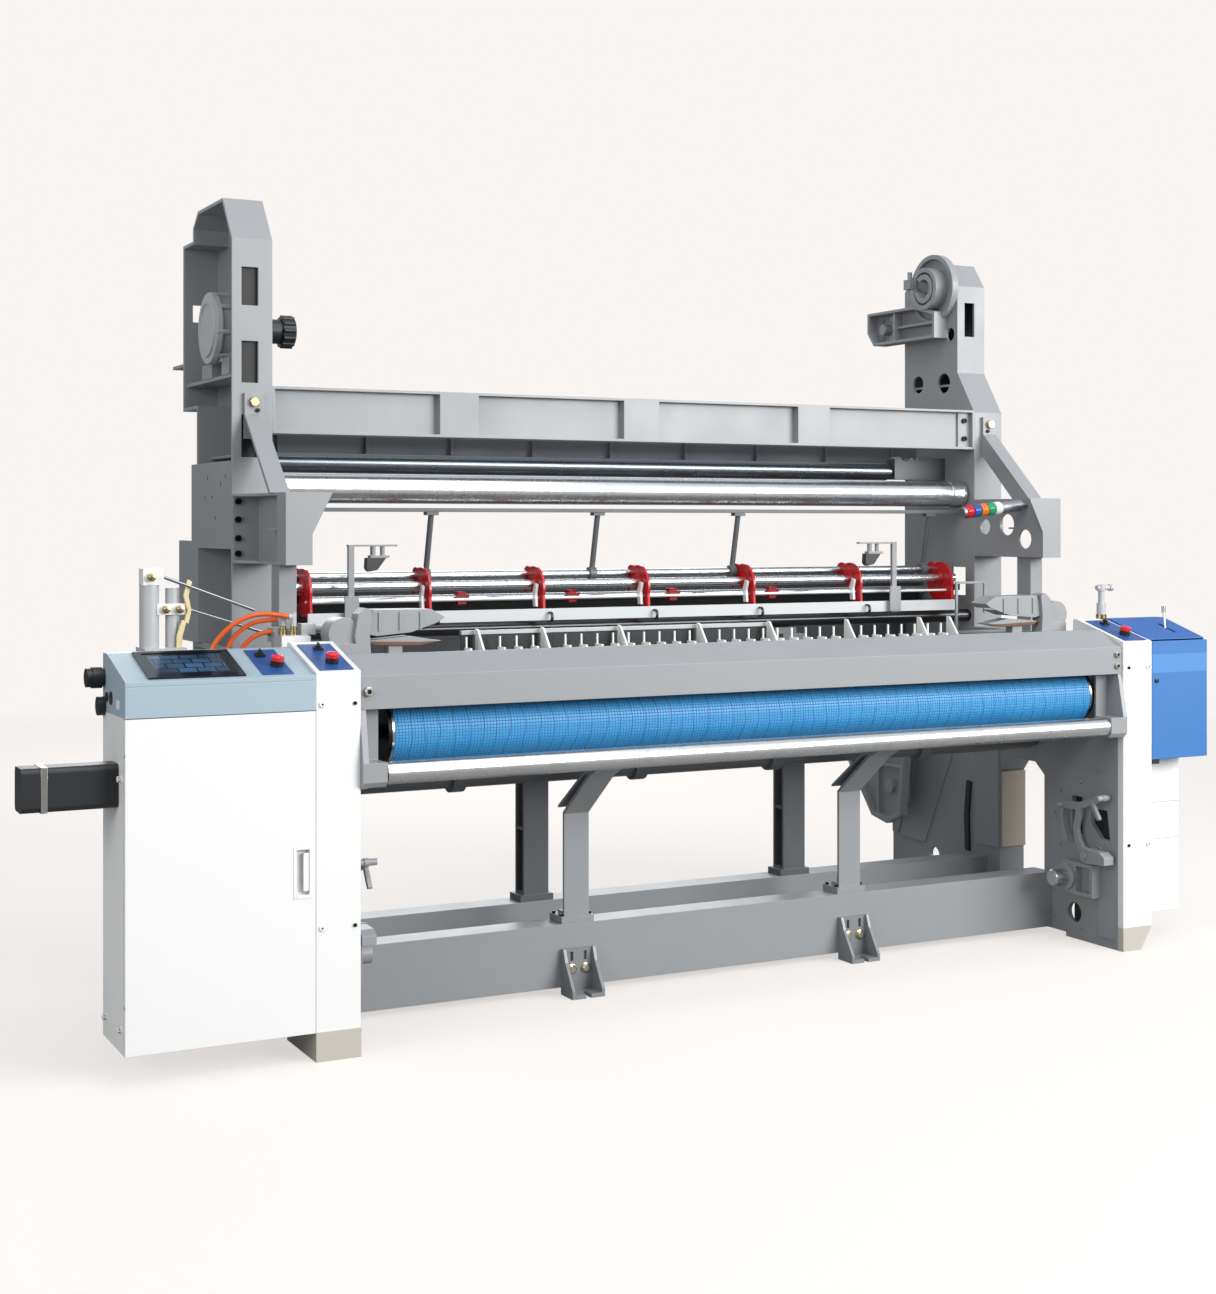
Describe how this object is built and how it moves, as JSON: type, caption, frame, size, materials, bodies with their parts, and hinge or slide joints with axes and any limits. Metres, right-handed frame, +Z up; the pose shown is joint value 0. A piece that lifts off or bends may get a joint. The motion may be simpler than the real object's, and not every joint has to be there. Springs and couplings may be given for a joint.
{
  "type": "power loom",
  "caption": "Rapier power loom with twin pile-beam towers, take-up and press rollers, sley with reed, warp tension bar, side cabinet with touch console.",
  "frame": {"origin": "on the floor under the middle of the machine's outline", "axes": "+X along the weaving width towards the blue drive box, +Y from the weaver's side to the back, +Z up"},
  "size_m": [3.75, 1.45, 2.34],
  "materials": {
    "machine_grey": "satin enamel",
    "white_paint": "satin powder coat",
    "console_blue": "satin powder coat",
    "panel_blue": "satin",
    "drive_blue": "satin powder coat",
    "azure_sleeve": "woven rubberised cloth",
    "chrome": "polished",
    "steel": "brushed",
    "dark_steel": "dark oiled steel",
    "red_paint": "gloss enamel",
    "aluminium_cast": "as cast",
    "black_plastic": "moulded",
    "red_plastic": "moulded",
    "glass_dark": "screen in a bezel",
    "hose_orange": "polyurethane hose",
    "lamp_plastic": "coloured lenses"
  },
  "bodies": {
    "frame": {"air_units": "aluminium_cast", "bar_hooks": "black_plastic", "base_beams": "machine_grey", "beam_bearing": "machine_grey", "bent_posts": "machine_grey", "breast_beam": "machine_grey", "breast_cheeks": "machine_grey", "cabinet_shell": "white_paint", "column_covers": "white_paint", "console": "console_blue", "control_panels": "panel_blue", "cross_beams": "machine_grey", "drive_box": "drive_blue", "floor_feet": "steel", "frame_bolts": "dark_steel", "gearbox": "aluminium_cast", "guard_box": "black_plastic", "orange_hoses": "hose_orange", "panel_switches": "black_plastic", "rapier_heads": "aluminium_cast", "rear_posts": "machine_grey", "roller_brackets": "machine_grey", "sensor_brackets": "machine_grey", "side_frame_left": "machine_grey", "side_frame_right": "machine_grey", "signal_lamp": "lamp_plastic", "tension_plates": "red_paint", "tension_rails": "chrome", "top_beam": "machine_grey", "touch_screen": "glass_dark", "tower_brackets": "machine_grey", "tower_left": "machine_grey", "tower_right": "machine_grey", "weft_rods": "steel", "white_box": "white_paint"},
    "cabinet_door": {"cabinet_door": "white_paint"},
    "drive_door": {"drive_door": "drive_blue"},
    "shift_lever": {"shift_lever": "chrome"},
    "take_up": {"take_up_roller": "steel", "take_up_sleeve": "azure_sleeve"},
    "press_roller": {"press_roller": "chrome"},
    "guide_roller": {"guide_roller": "chrome"},
    "upper_roller": {"upper_roller": "dark_steel"},
    "backrest_roller": {"backrest_roller": "dark_steel"},
    "handwheel": {"handwheel": "black_plastic"},
    "sley": {"sley": "machine_grey", "race_guides": "steel", "reed": "steel"},
    "guide_tube": {"guide_tube": "chrome"},
    "tension_levers": {"tension_levers": "white_paint"},
    "estop_console": {"estop_console": "red_plastic"},
    "selector_console": {"selector_console": "black_plastic"},
    "estop_left": {"estop_left": "red_plastic"},
    "selector_left": {"selector_left": "black_plastic"},
    "estop_right": {"estop_right": "red_plastic"},
    "selector_right": {"selector_right": "black_plastic"},
    "rocker_right": {"rocker_right": "machine_grey"},
    "rocker_left": {"rocker_left": "machine_grey"}
  },
  "joints": [
    {"name": "cabinet_door_swing", "type": "hinge", "parent": "frame", "child": "cabinet_door", "pos_m": [-1.637, -0.707, 0.48], "axis": [0, 0, 1], "range_deg": [-105, 0]},
    {"name": "drive_door_swing", "type": "hinge", "parent": "frame", "child": "drive_door", "pos_m": [1.868, -0.711, 0.8], "axis": [0, 0, 1], "range_deg": [0, 105]},
    {"name": "shift_lever_tilt", "type": "hinge", "parent": "frame", "child": "shift_lever", "pos_m": [1.798, -0.61, 0.985], "axis": [1, 0, 0], "range_deg": [-12, 12]},
    {"name": "take_up_spin", "type": "hinge", "parent": "frame", "child": "take_up", "pos_m": [0.235, -0.568, 0.812], "axis": [1, 0, 0], "continuous": true},
    {"name": "press_spin", "type": "hinge", "parent": "frame", "child": "press_roller", "pos_m": [0.235, -0.706, 0.72], "axis": [1, 0, 0], "continuous": true},
    {"name": "guide_spin", "type": "hinge", "parent": "frame", "child": "guide_roller", "pos_m": [0.235, 0.104, 1.469], "axis": [1, 0, 0], "continuous": true},
    {"name": "upper_spin", "type": "hinge", "parent": "frame", "child": "upper_roller", "pos_m": [0.235, 0.222, 1.549], "axis": [1, 0, 0], "continuous": true},
    {"name": "backrest_spin", "type": "hinge", "parent": "frame", "child": "backrest_roller", "pos_m": [0.235, 0.367, 1.122], "axis": [1, 0, 0], "continuous": true},
    {"name": "handwheel_spin", "type": "hinge", "parent": "frame", "child": "handwheel", "pos_m": [-0.985, 0.217, 1.943], "axis": [1, 0, 0], "continuous": true},
    {"name": "sley_swing", "type": "hinge", "parent": "frame", "child": "sley", "pos_m": [0.235, -0.288, 0.64], "axis": [1, 0, 0], "range_deg": [-15, 0]},
    {"name": "guide_tube_spin", "type": "hinge", "parent": "frame", "child": "guide_tube", "pos_m": [0.235, 0.082, 1.174], "axis": [1, 0, 0], "continuous": true},
    {"name": "tension_lever_tilt", "type": "hinge", "parent": "frame", "child": "tension_levers", "pos_m": [0.235, 0.044, 1.132], "axis": [1, 0, 0], "range_deg": [-6, 6]},
    {"name": "rocker_right_swing", "type": "hinge", "parent": "frame", "child": "rocker_right", "pos_m": [1.485, -0.599, 0.292], "axis": [1, 0, 0], "range_deg": [-6.5, 0.5]},
    {"name": "rocker_left_swing", "type": "hinge", "parent": "frame", "child": "rocker_left", "pos_m": [-1.015, -0.599, 0.292], "axis": [1, 0, 0], "range_deg": [-6.5, 0.5]},
    {"name": "estop_console_press", "type": "slide", "parent": "frame", "child": "estop_console", "axis": [0, 0.2869, -0.958], "range_m": [0, 0.0035], "stiffness_N_per_m": 900, "springref_m": -0.002},
    {"name": "estop_left_press", "type": "slide", "parent": "frame", "child": "estop_left", "axis": [0, 0.2776, -0.9607], "range_m": [0, 0.0035], "stiffness_N_per_m": 900, "springref_m": -0.002},
    {"name": "estop_right_press", "type": "slide", "parent": "frame", "child": "estop_right", "axis": [0, 0.2776, -0.9607], "range_m": [0, 0.0035], "stiffness_N_per_m": 900, "springref_m": -0.002},
    {"name": "selector_console_turn", "type": "hinge", "parent": "frame", "child": "selector_console", "pos_m": [-1.269, -0.58101, 1.03047], "axis": [0, -0.2869, 0.958], "range_deg": [-45, 45]},
    {"name": "selector_left_turn", "type": "hinge", "parent": "frame", "child": "selector_left", "pos_m": [-1.107, -0.56514, 1.04158], "axis": [0, -0.2776, 0.9607], "range_deg": [-45, 45]},
    {"name": "selector_right_turn", "type": "hinge", "parent": "frame", "child": "selector_right", "pos_m": [1.577, -0.56514, 1.04158], "axis": [0, -0.2776, 0.9607], "range_deg": [-45, 45]}
  ],
  "couplings": [
    {"joint": "rocker_right_swing", "follows": "sley_swing", "ratio": 0.4},
    {"joint": "rocker_left_swing", "follows": "sley_swing", "ratio": 0.4}
  ]
}
